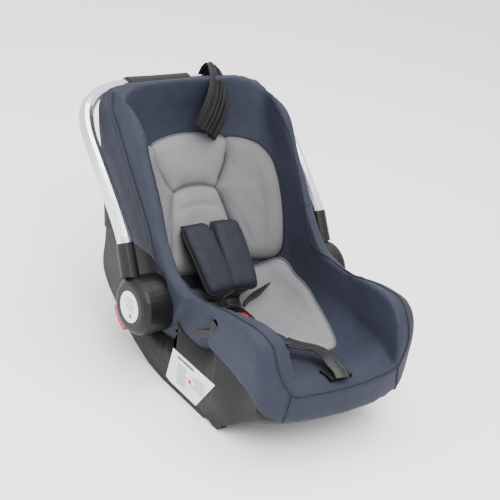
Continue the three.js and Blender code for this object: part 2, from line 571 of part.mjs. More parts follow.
// ---- outer cloth -------------------------------------------------------------------------
const drumRoom = barX(HUB_RADIUS + 2, 100, 400, 0, PIVOT_Z, 40);
const clothSkin = outerBody(SKIN).subtract(outerBody(LINING_GAP)).subtract(innerBody(INNER_WALL))
  .subtract(drumRoom).subtract(mirrored(drumRoom));
const HOOD_ZONE = [[-172, 196], [-150, 186], [-72, 184], [-52, 128], [-36, 110], [-30, 130], [-44, 190],
  [0, 215], [60, 214], [110, 196], [150, 186], [300, 186], [300, 500], [-172, 500]]
  .map(([y, z]) => [y, z * H]);
const LOBE_ZONE = [[-173, 500], [-173, 186], [-150, 176], [-136, 152], [-150, 128], [-222, 134],
  [-272, 104], [-290, 60], [-288, 500]].map(([y, z]) => [y, z * H]);
const SKIRT_ZONE = [[-289, 500], [-291, 55], [-400, 55], [-400, 500]].map(([y, z]) => [y, z * H]);
add('cover_hood', clothSkin.intersect(sideBlock(HOOD_ZONE, -WIDE, WIDE)), NAVY);
const lobe = clothSkin.intersect(sideBlock(LOBE_ZONE.map(([y, z]) => [y - GAP, z]), -WIDE, WIDE));
addPair('cover_side', lobe.intersect(slabX(40, WIDE)), NAVY);
add('cover_lip',
  clothSkin.intersect(sideBlock(SKIRT_ZONE.map(([y, z]) => [y - 2 * GAP, z]), -WIDE, WIDE)), NAVY);

// ---- newborn insert ----------------------------------------------------------------------
const insertLayer = cutForStraps(
  innerBody(INNER_WALL + GAP).subtract(innerBody(INNER_WALL + INSERT)).intersect(outerBody(-4)));
const PILLOW_HALF = 58;
const BOLSTER_HALF = 112;
const zoneAbove = (z0, z1) => box(-WIDE, WIDE, -20, 500, z0 * H, z1 * H);
const backInsert = insertLayer.intersect(backZone(3));
const pillowSlab = slabX(-PILLOW_HALF, PILLOW_HALF);
add('insert_pillow', backInsert.intersect(zoneAbove(246, 334)).intersect(pillowSlab), GREY);
add('insert_back', backInsert.intersect(zoneAbove(110, 246 - 0.6)).intersect(pillowSlab), GREY);
// Everything within `depth` of the lining's back face, along the lean of the back.
function nearBack(depth) {
  const corner = (along, out) => {
    const p = BACK_POINT.clone().addScaledVector(BACK_RUN, along).addScaledVector(BACK_NORMAL, out);
    return [p.y, p.z];
  };
  return sideBlock([corner(-90, -60), corner(280, -60), corner(280, depth), corner(-90, depth)], -WIDE, WIDE);
}
const BOLSTER_DEPTH = 56;
addPair('insert_bolster', backInsert.intersect(zoneAbove(176, 342)).intersect(nearBack(BOLSTER_DEPTH))
  .intersect(slabX(PILLOW_HALF + 0.6, BOLSTER_HALF)), GREY);
const seatInsert = cutForStraps(innerBody(INNER_WALL + GAP).subtract(innerBody(INNER_WALL + SEAT_INSERT)))
  .intersect(seatZone(4)).intersect(box(-88 * K, 88 * K, -196, 14, -50, 124 * H));
add('insert_seat', seatInsert, GREY);

// ---- harness -----------------------------------------------------------------------------
addPair('shoulder_strap', shoulderStrap(0), BLACK_WEB);
const shoulderPad = placed(cushion(PAD_WIDTH, PAD_LENGTH, PAD_THICKNESS, 22, 5), PAD_CENTRE, PAD_RUN,
  v(1, 0, 0).addScaledVector(PAD_RUN, -PAD_RUN.x))
  .subtract(shoulderStrap(1.2)).intersect(slabX(0.4, 200));
addPair('shoulder_pad', shoulderPad, NAVY);
addPair('lap_strap', lapStrap(0), BLACK_WEB);
add('crotch_strap', crotchStrap(0), BLACK_WEB);
const CROTCH_PAD_LENGTH = 66;
const crotchPadCentre = v(0, -86, 88.7 * H);
const crotchPad = placed(cushion(52, CROTCH_PAD_LENGTH, 9, 10, 3), crotchPadCentre, v(0, 1, -0.2), X_AXIS)
  .subtract(crotchStrap(1.2));
add('crotch_pad', crotchPad, NAVY);

const BUTTON_WIDTH = 26;
const BUTTON_LENGTH = 18;
const BUTTON_DEPTH = 6;            // button below the buckle's face
const BUTTON_PROUD = 2;
const SPRING_LENGTH = 1.4;
const buttonFloor = BUCKLE_TOP - BUTTON_DEPTH - BUTTON_TRAVEL - SPRING_LENGTH - 2 * GAP;
const buttonY = BUCKLE_CENTRE.y - 8;
const buttonRoom = box(-BUTTON_WIDTH / 2 - GAP, BUTTON_WIDTH / 2 + GAP, buttonY - BUTTON_LENGTH / 2 - GAP,
  buttonY + BUTTON_LENGTH / 2 + GAP, buttonFloor, BUCKLE_TOP + 20);
const tonguePath = [v(12, TONGUE_Y - 14, BUCKLE_CENTRE.z), v(12, TONGUE_Y + 6.5, BUCKLE_CENTRE.z)];
const tongueBody = (extra) => ribbon(tonguePath, 18 + extra, 3 + extra, X_AXIS, 2)
  .add(box(1 - extra / 2, 34 + extra / 2, TONGUE_Y + 1 - extra / 2, TONGUE_Y + 6.5,
    BUCKLE_CENTRE.z - 2.4, BUCKLE_CENTRE.z + 2.4));
const tongue = tongueBody(0).intersect(slabX(0.6, 60));
const tongueRoom = box(-22, 22, TONGUE_Y - 15, TONGUE_Y + 20, BUCKLE_CENTRE.z - 2, BUCKLE_CENTRE.z + 2);
const buckle = placed(
  cushion(BUCKLE_WIDTH, BUCKLE_LENGTH, BUCKLE_HEIGHT, 12, 3), BUCKLE_CENTRE, v(0, 1, 0), X_AXIS)
  .subtract(buttonRoom).subtract(tongueRoom);
add('buckle_body', buckle, BLACK_PLASTIC);
const button = placed(cushion(BUTTON_WIDTH, BUTTON_LENGTH, BUTTON_DEPTH + BUTTON_PROUD, 5, 1.5),
  v(0, buttonY, BUCKLE_TOP + (BUTTON_PROUD - BUTTON_DEPTH) / 2), v(0, 1, 0), X_AXIS);
add('buckle_button', button, RED);
add('buckle_spring', toSolid(new THREE.CylinderGeometry(4, 4, SPRING_LENGTH, 16).rotateX(Math.PI / 2))
  .translate([0, buttonY, buttonFloor + GAP + SPRING_LENGTH / 2]), STEEL);
addPair('tongue', tongue.subtract(lapStrap(0.8)).subtract(shoulderStrap(0.8)), STEEL);

const housing = box(-22, 22, ADJUSTER_Y - 14, ADJUSTER_Y + 14, ADJUSTER_TOP - 30, ADJUSTER_TOP)
  .subtract(box(-15, 15, ADJUSTER_Y - 11, ADJUSTER_Y + 20, ADJUSTER_TOP - 16, ADJUSTER_TOP + 10));
add('adjuster_housing', housing, BLACK_PLASTIC);
const LEVER_PIVOT = v(0, ADJUSTER_Y - 5, ADJUSTER_TOP - 7);
const adjusterLever = box(-14.2, 14.2, ADJUSTER_Y - 10, ADJUSTER_Y + 10, ADJUSTER_TOP - 6, ADJUSTER_TOP - 2)
  .add(barX(3.2, -14.2, 14.2, LEVER_PIVOT.y, LEVER_PIVOT.z, 16));
add('adjuster_lever', adjusterLever, STEEL);
add('adjuster_strap', ribbon(TAIL_ROUTE, TAIL_WIDTH, TAIL_THICKNESS, X_AXIS, 24), BLACK_WEB);
add('splitter_plate',
  box(-34, 34, RECESS_FACE + 2, RECESS_FACE + 5, SPLITTER_Z - 14, SPLITTER_Z + 10), STEEL);

// ---- side label --------------------------------------------------------------------------
add('side_label', labelBlock(LABEL_LENGTH, LABEL_HEIGHT, 0.6, 0), PAPER);

// ---- handle assembly ---------------------------------------------------------------------
add('handle_tube', handleTube, ALUMINIUM, handle);
add('handle_grip', grip, GRIP_FOAM, handle);
addPair('handle_sleeve', sleeve, BLACK_PLASTIC, handle);
addPair('hub_disc', toSolid(discGeometry).subtract(leverPocket).subtract(axleBore), BLACK_PLASTIC, handle);
addPair('hub_sticker', barX(STICKER_RADIUS, HUB_OUTER - 0.9, HUB_OUTER - 0.3, 0, PIVOT_Z, 40), PAPER, handle);
addPair('release_lever', lever, RED, handle);
addPair('release_spring', leverSpring, STEEL, handle);
add('canopy_cloth', clothLoop.add(clothTail), BLACK_WEB, handle);

// The origin is on the floor, under the middle of the whole seat.
const bounds = new THREE.Box3().setFromObject(seat);
const middle = bounds.getCenter(v(0, 0, 0));
const group = new THREE.Group();
seat.position.set(0, -middle.y, 0);
group.add(seat);

export default group;
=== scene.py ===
# Infant car seat: the looks of a padded carrier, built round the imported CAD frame.
import json
import math

import bpy
import bmesh
import numpy as np
from mathutils import Matrix, Vector, noise
from mathutils.bvhtree import BVHTree


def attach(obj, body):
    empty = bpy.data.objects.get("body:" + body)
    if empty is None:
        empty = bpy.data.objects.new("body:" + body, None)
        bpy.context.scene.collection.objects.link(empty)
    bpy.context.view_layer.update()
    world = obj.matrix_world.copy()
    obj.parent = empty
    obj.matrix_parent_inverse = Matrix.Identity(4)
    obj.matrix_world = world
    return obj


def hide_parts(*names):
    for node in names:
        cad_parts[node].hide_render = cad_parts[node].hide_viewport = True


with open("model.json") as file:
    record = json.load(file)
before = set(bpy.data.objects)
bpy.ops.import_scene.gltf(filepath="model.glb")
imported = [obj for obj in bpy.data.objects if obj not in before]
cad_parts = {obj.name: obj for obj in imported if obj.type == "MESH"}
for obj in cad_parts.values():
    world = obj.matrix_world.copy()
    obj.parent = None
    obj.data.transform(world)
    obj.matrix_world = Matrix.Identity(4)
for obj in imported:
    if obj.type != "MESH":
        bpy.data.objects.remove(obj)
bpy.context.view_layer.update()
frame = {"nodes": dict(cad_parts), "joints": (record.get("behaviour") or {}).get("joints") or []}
NODES = frame["nodes"]
PIVOT_Y = frame["joints"][0]["pos_m"][1]
MM = 0.001


def at(x, y, z):
    """A point given in millimetres, with y counted from the handle's pivot."""
    return Vector((x * MM, y * MM + PIVOT_Y, z * MM))


# ---- shape helpers -----------------------------------------------------------------------
def spline(points, per=6, closed=False):
    """A smooth curve through the points, with `per` pieces between neighbours."""
    p = np.array([list(q) for q in points], float)
    n = len(p)
    out = []
    for i in range(n if closed else n - 1):
        if closed:
            a, b, c, d = (p[(i + k) % n] for k in (-1, 0, 1, 2))
        else:
            b, c = p[i], p[i + 1]
            a = p[i - 1] if i else 2 * b - c
            d = p[i + 2] if i + 2 < n else 2 * c - b
        ta = max(np.linalg.norm(b - a), 1e-9) ** 0.5
        tb = max(np.linalg.norm(c - b), 1e-9) ** 0.5
        tc = max(np.linalg.norm(d - c), 1e-9) ** 0.5
        m1 = (c - b) + tb * ((b - a) / ta - (c - a) / (ta + tb))
        m2 = (c - b) + tb * ((d - c) / tc - (d - b) / (tb + tc))
        for k in range(per):
            t = k / per
            out.append((2 * t**3 - 3 * t**2 + 1) * b + (t**3 - 2 * t**2 + t) * m1
                       + (-2 * t**3 + 3 * t**2) * c + (t**3 - t**2) * m2)
    if not closed:
        out.append(p[-1])
    return np.array(out)


def evenly(points, step):
    """The same line, resampled at about `step` metres."""
    p = np.array([list(q) for q in points], float)
    s = np.concatenate([[0], np.cumsum(np.linalg.norm(np.diff(p, axis=0), axis=1))])
    count = max(int(round(s[-1] / step)), 2)
    t = np.linspace(0, s[-1], count + 1)
    return np.stack([np.interp(t, s, p[:, k]) for k in range(p.shape[1])], 1)


def make(name, verts, faces, material=None, smooth=True):
    mesh = bpy.data.meshes.new(name)
    mesh.from_pydata([tuple(v) for v in verts], [], [tuple(f) for f in faces])
    mesh.validate()
    obj = bpy.data.objects.new(name, mesh)
    bpy.context.scene.collection.objects.link(obj)
    bm = bmesh.new()
    bm.from_mesh(mesh)
    bmesh.ops.recalc_face_normals(bm, faces=bm.faces)
    bm.to_mesh(mesh)
    bm.free()
    if smooth:
        mesh.polygons.foreach_set("use_smooth", [True] * len(mesh.polygons))
    if material:
        mesh.materials.append(material)
    return obj


def bake(obj):
    """Applies the object's modifiers to its mesh."""
    dg = bpy.context.evaluated_depsgraph_get()
    new = bpy.data.meshes.new_from_object(obj.evaluated_get(dg))
    obj.modifiers.clear()
    obj.data = new
    new.polygons.foreach_set("use_smooth", [True] * len(new.polygons))
    return obj


def modify(obj, kind, **values):
    m = obj.modifiers.new(kind.lower(), kind)
    for key, value in values.items():
        setattr(m, key, value)
    return m


def cut(obj, other, operation):
    modify(obj, "BOOLEAN", object=other, operation=operation, solver="EXACT",
           use_self=True)
    bake(obj)
    bpy.data.objects.remove(other)
    return obj


def vertices(obj):
    co = np.zeros(len(obj.data.vertices) * 3)
    obj.data.vertices.foreach_get("co", co)
    return co.reshape(-1, 3)


def normals(obj):
    no = np.zeros(len(obj.data.vertices) * 3)
    obj.data.vertices.foreach_get("normal", no)
    return no.reshape(-1, 3)


def set_vertices(obj, co):
    obj.data.vertices.foreach_set("co", np.asarray(co, np.float32).ravel())
    obj.data.update()


def relax(obj, rounds, weight=0.5):
    """Evens out the surface by moving each point towards its neighbours' middle."""
    co = vertices(obj)
    edges = np.zeros(len(obj.data.edges) * 2, int)
    obj.data.edges.foreach_get("vertices", edges)
    a, b = edges.reshape(-1, 2).T
    count = np.bincount(np.concatenate([a, b]), minlength=len(co))[:, None]
    for k in range(rounds * 2):
        total = np.stack([np.bincount(a, co[b, i], len(co)) + np.bincount(b, co[a, i], len(co))
                          for i in range(3)], 1)
        # a shrinking step, then a growing step, so that the volume stays
        step = weight if k % 2 == 0 else -weight * 1.03
        co = co + step * (total / count - co)
    set_vertices(obj, co)


def distance_to(co, line):
    """Distance from each point to a polyline."""
    best = np.full(len(co), 1e9)
    for p, q in zip(line[:-1], line[1:]):
        d = q - p
        t = np.clip(((co - p) @ d) / max(d @ d, 1e-12), 0, 1)
        best = np.minimum(best, np.linalg.norm(co - (p + t[:, None] * d), axis=1))
    return best


def frames_along(line):
    """Unit tangents and two unit normals that turn as little as they can."""
    t = np.gradient(line, axis=0)
    t /= np.linalg.norm(t, axis=1)[:, None]
    seed = np.array([0.0, 0.0, 1.0]) if abs(t[0][2]) < 0.9 else np.array([1.0, 0.0, 0.0])
    n = [np.cross(np.cross(t[0], seed), t[0])]
    n[0] /= np.linalg.norm(n[0])
    for k in range(1, len(line)):
        v = n[-1] - t[k] * (n[-1] @ t[k])
        n.append(v / np.linalg.norm(v))
    n = np.array(n)
    return t, n, np.cross(t, n)


def tube(name, points, radius, material, sides=8, step=0.003):
    """A round tube of that radius along the points."""
    line = evenly(points, step)
    _, n, b = frames_along(line)
    angle = np.arange(sides) / sides * 2 * math.pi
    rings = line[:, None] + radius * (np.cos(angle)[None, :, None] * n[:, None]
                                      + np.sin(angle)[None, :, None] * b[:, None])
    return make(name, *closed_rings(rings), material)


def closed_rings(rings):
    """Vertices and faces of a skin over closed rings, capped at both ends."""
    count, sides = rings.shape[:2]
    verts = list(rings.reshape(-1, 3)) + [rings[0].mean(0), rings[-1].mean(0)]
    faces = []
    for k in range(count - 1):
        for i in range(sides):
            j = (i + 1) % sides
            faces.append((k * sides + i, k * sides + j, (k + 1) * sides + j, (k + 1) * sides + i))
    last = (count - 1) * sides
    for i in range(sides):
        j = (i + 1) % sides
        faces.append((count * sides, j, i))
        faces.append((count * sides + 1, last + i, last + j))
    return verts, faces


def join(name, objects):
    """One object made of several, keeping their materials."""
    bm = bmesh.new()
    materials = []
    for o in objects:
        slots = []
        for m in o.data.materials:
            if m not in materials:
                materials.append(m)
            slots.append(materials.index(m))
        start = len(bm.faces)
        bm.from_mesh(o.data)
        bm.faces.ensure_lookup_table()
        for f in bm.faces[start:]:
            f.material_index = slots[f.material_index] if slots else 0
    mesh = bpy.data.meshes.new(name)
    bm.to_mesh(mesh)
    bm.free()
    for m in materials:
        mesh.materials.append(m)
    for o in objects:
        bpy.data.objects.remove(o)
    obj = bpy.data.objects.new(name, mesh)
    bpy.context.scene.collection.objects.link(obj)
    return obj


# ---- materials ---------------------------------------------------------------------------
class Paint:
    """A small builder of node materials."""

    def __init__(self, name, color, roughness, metallic=0.0, **sockets):
        self.material = bpy.data.materials.new(name)
        self.material.use_nodes = True
        self.tree = self.material.node_tree
        self.shader = self.tree.nodes["Principled BSDF"]
        self.shader.inputs["Base Color"].default_value = (*color, 1)
        self.shader.inputs["Roughness"].default_value = roughness
        self.shader.inputs["Metallic"].default_value = metallic
        for key, value in sockets.items():
            self.shader.inputs[key.replace("_", " ")].default_value = value
        self.color = color
        self.coords = self.tree.nodes.new("ShaderNodeTexCoord").outputs["Object"]
        self.height = None

    def node(self, kind, inputs=None, **values):
        n = self.tree.nodes.new(kind)
        for key, value in values.items():
            setattr(n, key, value)
        for key, value in (inputs or {}).items():
            if isinstance(value, bpy.types.NodeSocket):
                self.tree.links.new(value, n.inputs[key])
            else:
                n.inputs[key].default_value = value
        return n

    def stretched(self, scale):
        return self.node("ShaderNodeMapping", {"Vector": self.coords, "Scale": scale}).outputs[0]

    def noise(self, scale, detail=3.0, vector=None):
        return self.node("ShaderNodeTexNoise", {
            "Vector": vector or self.coords, "Scale": scale, "Detail": detail}).outputs["Fac"]

    def cells(self, scale, vector=None):
        return self.node("ShaderNodeTexVoronoi", {
            "Vector": vector or self.coords, "Scale": scale}).outputs["Distance"]

    def bands(self, scale, direction, distortion=0.0):
        return self.node("ShaderNodeTexWave", {
            "Vector": self.coords, "Scale": scale, "Distortion": distortion},
            bands_direction=direction).outputs["Fac"]

    def ramp(self, value, low, high, low_color, high_color):
        n = self.node("ShaderNodeValToRGB", {"Fac": value})
        e = n.color_ramp.elements
        e[0].position, e[1].position = low, high
        e[0].color, e[1].color = (*low_color, 1), (*high_color, 1)
        return n.outputs["Color"]

    def tint(self, value, low, high, dark, light):
        """Colour varies from dark to light times the base colour as value goes from low to high."""
        colour = self.ramp(value, low, high, [c * dark for c in self.color],
                           [min(c * light, 1) for c in self.color])
        self.tree.links.new(colour, self.shader.inputs["Base Color"])
        return self

    def shine(self, value, low, high):
        n = self.node("ShaderNodeMapRange", {"Value": value, "To Min": low, "To Max": high})
        self.tree.links.new(n.outputs[0], self.shader.inputs["Roughness"])
        return self

    def bump(self, value, distance, strength=1.0):
        inputs = {"Height": value, "Distance": distance, "Strength": strength}
        if self.height is not None:
            inputs["Normal"] = self.height
        self.height = self.node("ShaderNodeBump", inputs).outputs[0]
        self.tree.links.new(self.height, self.shader.inputs["Normal"])
        return self


def knitted(name, color, cell=0.0011, sheen=0.35):
    """Fine knitted mesh: small cells, a soft sheen and slow changes of shade."""
    p = Paint(name, color, 0.72, Sheen_Weight=sheen, Sheen_Roughness=0.45, Specular_IOR_Level=0.3)
    p.shader.inputs["Sheen Tint"].default_value = (*[min(c * 3 + 0.1, 1) for c in color], 1)
    cells = p.cells(1 / cell)
    slow = p.noise(9, 4)
    mixed = p.node("ShaderNodeMath", {0: slow, 1: p.node("ShaderNodeMath", {0: cells, 1: 0.18},
                                                         operation="MULTIPLY").outputs[0]},
                   operation="ADD").outputs[0]
    p.tint(mixed, 0.3, 0.85, 0.84, 1.16)
    p.shine(p.noise(60, 2), 0.6, 0.82)
    p.bump(cells, 0.0004, 0.5)
    p.bump(p.noise(26, 3), 0.0015, 0.35)
    return p.material


def moulded(name, color, roughness=0.42):
    """Moulded plastic with a fine spark-eroded grain and rubbed patches."""
    p = Paint(name, color, roughness, Specular_IOR_Level=0.28)
    p.tint(p.noise(5, 5), 0.35, 0.7, 0.8, 1.35)
    p.shine(p.noise(14, 4), roughness - 0.08, roughness + 0.14)
    p.bump(p.cells(900), 0.00012, 0.6)
    return p.material


def woven(name, color, across="X", period=0.0024):
    """Seat-belt webbing: ribs across the width and a flat sheen."""
    p = Paint(name, color, 0.5, Sheen_Weight=0.04, Sheen_Roughness=0.3)
    ribs = p.bands(1 / (period * 6.28), "Z", 0.4)
    threads = p.bands(1 / (period * 3.14), across, 0.2)
    p.tint(p.noise(40, 3), 0.3, 0.7, 0.75, 1.5)
    p.bump(ribs, 0.0004, 0.5)
    p.bump(threads, 0.0003, 0.5)
    return p.material


NAVY = (0.0125, 0.0155, 0.028)
NAVY_CLOTH = knitted("navy_mesh", NAVY, sheen=0.07)
PAD_CLOTH = knitted("pad_mesh", (0.007, 0.009, 0.015), 0.0014, 0.08)
GREY_CLOTH = knitted("grey_mesh", (0.15, 0.148, 0.154), 0.0012, 0.06)
# Painted shade: the grey mesh made darker, for the bolsters at the sides of the headrest
GREY_PAINTED_SHADE = knitted("grey_mesh_painted_shade", (0.115, 0.113, 0.117), 0.0012, 0.06)
PIPING = knitted("navy_piping", (0.005, 0.006, 0.011), 0.0008, 0.05)
GREY_PIPING = knitted("grey_piping", (0.075, 0.075, 0.079), 0.0008, 0.05)
THREAD = Paint("thread", (0.02, 0.024, 0.04), 0.6).material
BINDING = knitted("black_binding", (0.0025, 0.0025, 0.003), 0.0009, 0.04)
WEBBING = woven("black_webbing", (0.003, 0.003, 0.0034))
PLASTIC = moulded("black_plastic", (0.0028, 0.0028, 0.003))
SHELL_PLASTIC = moulded("shell_plastic", (0.0026, 0.0026, 0.0028), 0.5)


def metal(name, color, roughness, grain):
    p = Paint(name, color, roughness, 1.0)
    streaks = p.noise(1, 3, p.stretched(grain))
    p.shine(streaks, roughness - 0.05, roughness + 0.08)
    p.bump(streaks, 0.00005, 0.25)
    return p.material


ALUMINIUM = metal("polished_aluminium", (0.80, 0.81, 0.83), 0.2, (900, 30, 30))
STEEL = metal("steel", (0.45, 0.46, 0.48), 0.33, (60, 600, 60))
_red = Paint("red_plastic", (0.30, 0.004, 0.008), 0.32, Coat_Weight=0.2)
RED = _red.shine(_red.noise(30, 3), 0.26, 0.42).bump(_red.cells(700), 0.0001, 0.4).material
_foam = Paint("grip_foam", (0.004, 0.0037, 0.0037), 0.85, Sheen_Weight=0.04)
GRIP = _foam.bump(_foam.cells(420), 0.0006, 0.6).bump(_foam.noise(40, 4), 0.0012, 0.5).tint(
    _foam.noise(25, 3), 0.3, 0.7, 0.7, 1.6).material
_paper = Paint("label_paper", (0.72, 0.73, 0.76), 0.45)
PAPER = _paper.tint(_paper.noise(30, 3), 0.3, 0.7, 0.94, 1.03).material
INK = Paint("label_ink", (0.03, 0.03, 0.04), 0.5).material
RED_INK = Paint("label_red_ink", (0.5, 0.02, 0.03), 0.5).material

# ---- camera ------------------------------------------------------------------------------
# The photographer stands in front of the child's right side and looks down on the seat.
CAMERA_RIGHT = Vector((0.7856, -0.5935, 0.1747))
CAMERA_UP = Vector((0.1449, 0.4509, 0.8807))
CAMERA_BACK = Vector((-0.6015, -0.6666, 0.4402))
camera = bpy.data.objects.new("camera", bpy.data.cameras.new("camera"))
bpy.context.scene.collection.objects.link(camera)
camera.data.lens = 88.2
camera.data.sensor_width = 36
camera.matrix_world = Matrix.Translation(at(-1225.1, -1374.1, 1110.6)) @ Matrix(
    [[a, b, c] for a, b, c in zip(CAMERA_RIGHT, CAMERA_UP, CAMERA_BACK)]).to_4x4()
bpy.context.scene.camera = camera

# ---- cover -------------------------------------------------------------------------------
# Side-view outlines: [y, z, half width, edge rounding]. The front is wider and rounder than the
# CAD shell's, and the rest follows it.
OUTER = [
    (-301, 108, 152, 40), (-303, 82, 148, 40), (-290, 64, 148, 34), (-236, 38, 148, 14),
    (-196, 14, 148, 5), (-150, 8, 148, 4), (-30, 8, 148, 4), (20, 14, 150, 4), (70, 30, 154, 5),
    (116, 62, 158, 6), (158, 94, 160, 6), (178, 118, 160, 8), (184, 172, 160, 10),
    (203, 240, 161, 14), (229, 302, 162, 20), (246, 350, 162, 18), (252, 388, 160, 14),
    (246, 410, 159, 10), (230, 420, 158, 8), (208, 420, 158, 8), (168, 408, 158, 8),
    (126, 386, 160, 8), (93, 346, 161, 10), (53, 294, 162, 8), (-2, 226, 163, 8),
    (-38, 199, 163, 8), (-95, 193, 163, 8), (-180, 209, 162, 8), (-232, 215, 160, 10),
    (-264, 202, 159, 16), (-287, 170, 157, 28), (-298, 134, 154, 38)]
INNER = [
    (-345, 100, 104, 4), (-296, 97, 104, 12), (-262, 102, 118, 24), (-200, 79, 136, 44),
    (-121, 57, 150, 60), (-50, 39, 154, 70), (-3, 33, 155, 74), (52, 45, 155, 74),
    (92, 80, 155, 74), (119, 119, 155, 74), (153, 178, 155, 74), (224, 304, 153, 70),
    (237, 345, 150, 56), (241, 385, 147, 44), (236, 470, 145, 20), (60, 560, 140, 10),
    (-200, 480, 140, 10), (-345, 300, 104, 4)]
# The room that the cover leaves open: it flares towards the rim.
CABIN = [
    (-345, 122, 106, 4), (-297, 119, 106, 20), (-262, 124, 116, 40), (-200, 101, 134, 66),
    (-121, 79, 146, 84), (-50, 61, 147, 92), (-6, 55, 147, 96), (36, 63, 147, 96),
    (72, 92, 147, 96), (98, 130, 147, 96), (131, 189, 147, 96), (203, 312, 147, 92),
    (216, 350, 147, 80), (221, 388, 147, 60), (214, 470, 145, 20), (60, 560, 140, 10),
    (-200, 480, 140, 10), (-345, 300, 106, 4)]
SKIN = 4                   # cloth outside the shell
RING_HALF = [0, 0.25, 0.45, 0.6, 0.72, 0.81, 0.88, 0.93, 0.965, 0.988, 1]
ROUNDING_POWER = 2.4


def barrel(name, outline, grow, heart=None, per=4):
    """The block that the outline sweeps across the width, with its sides rounded.

    The rounding goes straight in from the outline, or towards the heart point when one is given."""
    flat = np.array([(y, z) for y, z, _, _ in outline], float)
    before = np.roll(flat, 1, 0) - flat
    after = np.roll(flat, -1, 0) - flat
    before /= np.linalg.norm(before, axis=1)[:, None]
    after /= np.linalg.norm(after, axis=1)[:, None]
    run = after - before
    run /= np.linalg.norm(run, axis=1)[:, None]
    miter = 1 / np.maximum(np.abs((run * after).sum(1)), 0.6)
    outward = np.stack([run[:, 1], -run[:, 0]], 1) * miter[:, None]
    away = outward
    if heart:
        away = flat - np.array(heart)
        away /= np.linalg.norm(away, axis=1)[:, None]
    rings = []
    for u in [-k for k in RING_HALF[:0:-1]] + RING_HALF:
        edge = 1 - (1 - abs(u) ** ROUNDING_POWER) ** (1 / ROUNDING_POWER)
        ring = []
        for (y, z, half, rounding), o, inward in zip(outline, outward, away):
            back = max(rounding + grow, 0) * edge
            ring.append(at((half + grow) * u, y + o[0] * grow - inward[0] * back,
                           z + o[1] * grow - inward[1] * back))
        rings.append(spline(ring, per, closed=True))
    rings = np.array(rings)
    verts, faces = closed_rings(rings)
    sides = rings.shape[1]
    last = (len(rings) - 1) * sides
    # the outlines are hollow in places, so the ends are single faces and not fans
    faces = [f for f in faces if len(f) == 4]
    faces += [tuple(range(sides))[::-1], tuple(range(last, last + sides))]
    obj = make(name, verts[:-2], faces)
    bm = bmesh.new()
    bm.from_mesh(obj.data)
    bmesh.ops.triangulate(bm, faces=[f for f in bm.faces if len(f.verts) > 4])
    bm.to_mesh(obj.data)
    bm.free()
    return obj


def side_block(name, outline, half=400, smooth=0):
    """A side-view polygon pushed across the whole width."""
    points = [(y, z) for y, z in outline]
    if smooth:
        points = spline(points, smooth, closed=True)
    n = len(points)
    verts = [at(-half, y, z) for y, z in points] + [at(half, y, z) for y, z in points]
    faces = [tuple(range(n)), tuple(range(2 * n - 1, n - 1, -1))]
    faces += [(i, i + n, (i + 1) % n + n, (i + 1) % n) for i in range(n)]
    obj = make(name, verts, faces, smooth=False)
    bm = bmesh.new()
    bm.from_mesh(obj.data)
    bmesh.ops.triangulate(bm, faces=bm.faces)
    bm.to_mesh(obj.data)
    bm.free()
    return obj


def front_block(half, top, radius):
    """A front-view plate with rounded upper corners, pushed along the whole depth."""
    arc = [(half - radius + radius * math.cos(a), top - radius + radius * math.sin(a))
           for a in np.linspace(0, math.pi / 2, 14)]
    points = [(half, -200)] + arc + [(-x, z) for x, z in reversed(arc)] + [(-half, -200)]
    n = len(points)
    verts = [at(x, -450, z) for x, z in points] + [at(x, 450, z) for x, z in points]
    faces = [tuple(range(n)), tuple(range(2 * n - 1, n - 1, -1))]
    faces += [(i, i + n, (i + 1) % n + n, (i + 1) % n) for i in range(n)]
    return make("front_block", verts, faces, smooth=False)


CLOTH_EDGE = [
    (-420, 70), (-304, 72), (-284, 86), (-262, 104), (-237, 118), (-187, 129), (-150, 132),
    (-139, 146), (-146, 168), (-164, 188), (-150, 192), (-100, 190), (-74, 184), (-58, 150), (-44, 118),
    (-34, 112), (-28, 132), (-26, 170), (-10, 196), (30, 206), (70, 206), (112, 196), (150, 186),
    (230, 184), (420, 184), (420, 700), (-420, 700)]
HEART = (-40, 290)         # a point in the room that sees the whole lining


def cover_body():
    outside = barrel("cover", OUTER, SKIN)
    cut(outside, front_block(163 + 6 + SKIN, 420 + SKIN, 70), "INTERSECT")
    skirt = cut(side_block("zone", CLOTH_EDGE), outside, "INTERSECT")
    lining = barrel("lining", INNER, 6, HEART)
    cut(lining, barrel("keep", OUTER, -3), "INTERSECT")
    cut(skirt, lining, "UNION")
    cut(skirt, barrel("cabin", CABIN, 0, HEART), "DIFFERENCE")
    skirt.name = "cover"
    return skirt


cover = cover_body()
modify(cover, "REMESH", mode="VOXEL", voxel_size=0.0045)
bake(cover)
relax(cover, 10)


def ripple(obj, scale, height):
    """Slow swells of the cloth, with the skin moved along its normals."""
    co, no = vertices(obj), normals(obj)
    swell = np.array([noise.noise(Vector(c) * scale) + 0.45 * noise.noise(Vector(c) * scale * 2.6)
                      for c in co])
    set_vertices(obj, co + no * (swell * height)[:, None])


ripple(cover, 14, 0.0016)
cover.data.materials.clear()
cover.data.materials.append(NAVY_CLOTH)
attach(cover, "seat")
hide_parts("cover_back", "cover_wing_left", "cover_wing_right", "cover_seat", "cover_hood",
            "cover_side_left", "cover_side_right", "cover_lip", "foam_back", "foam_seat")

# ---- moulded shell -----------------------------------------------------------------------
OVERLAP = 14               # how far the shell runs up under the cloth
WINDOW_SHARE = 0.1         # of the side block's width, which sets how deep the pocket is
WINDOW_SIDE = 0.19         # metres from the middle to the pocket's own middle
WINDOW = [(-66, 184), (-52, 132), (-92, 118), (-140, 124), (-166, 150), (-166, 186)]


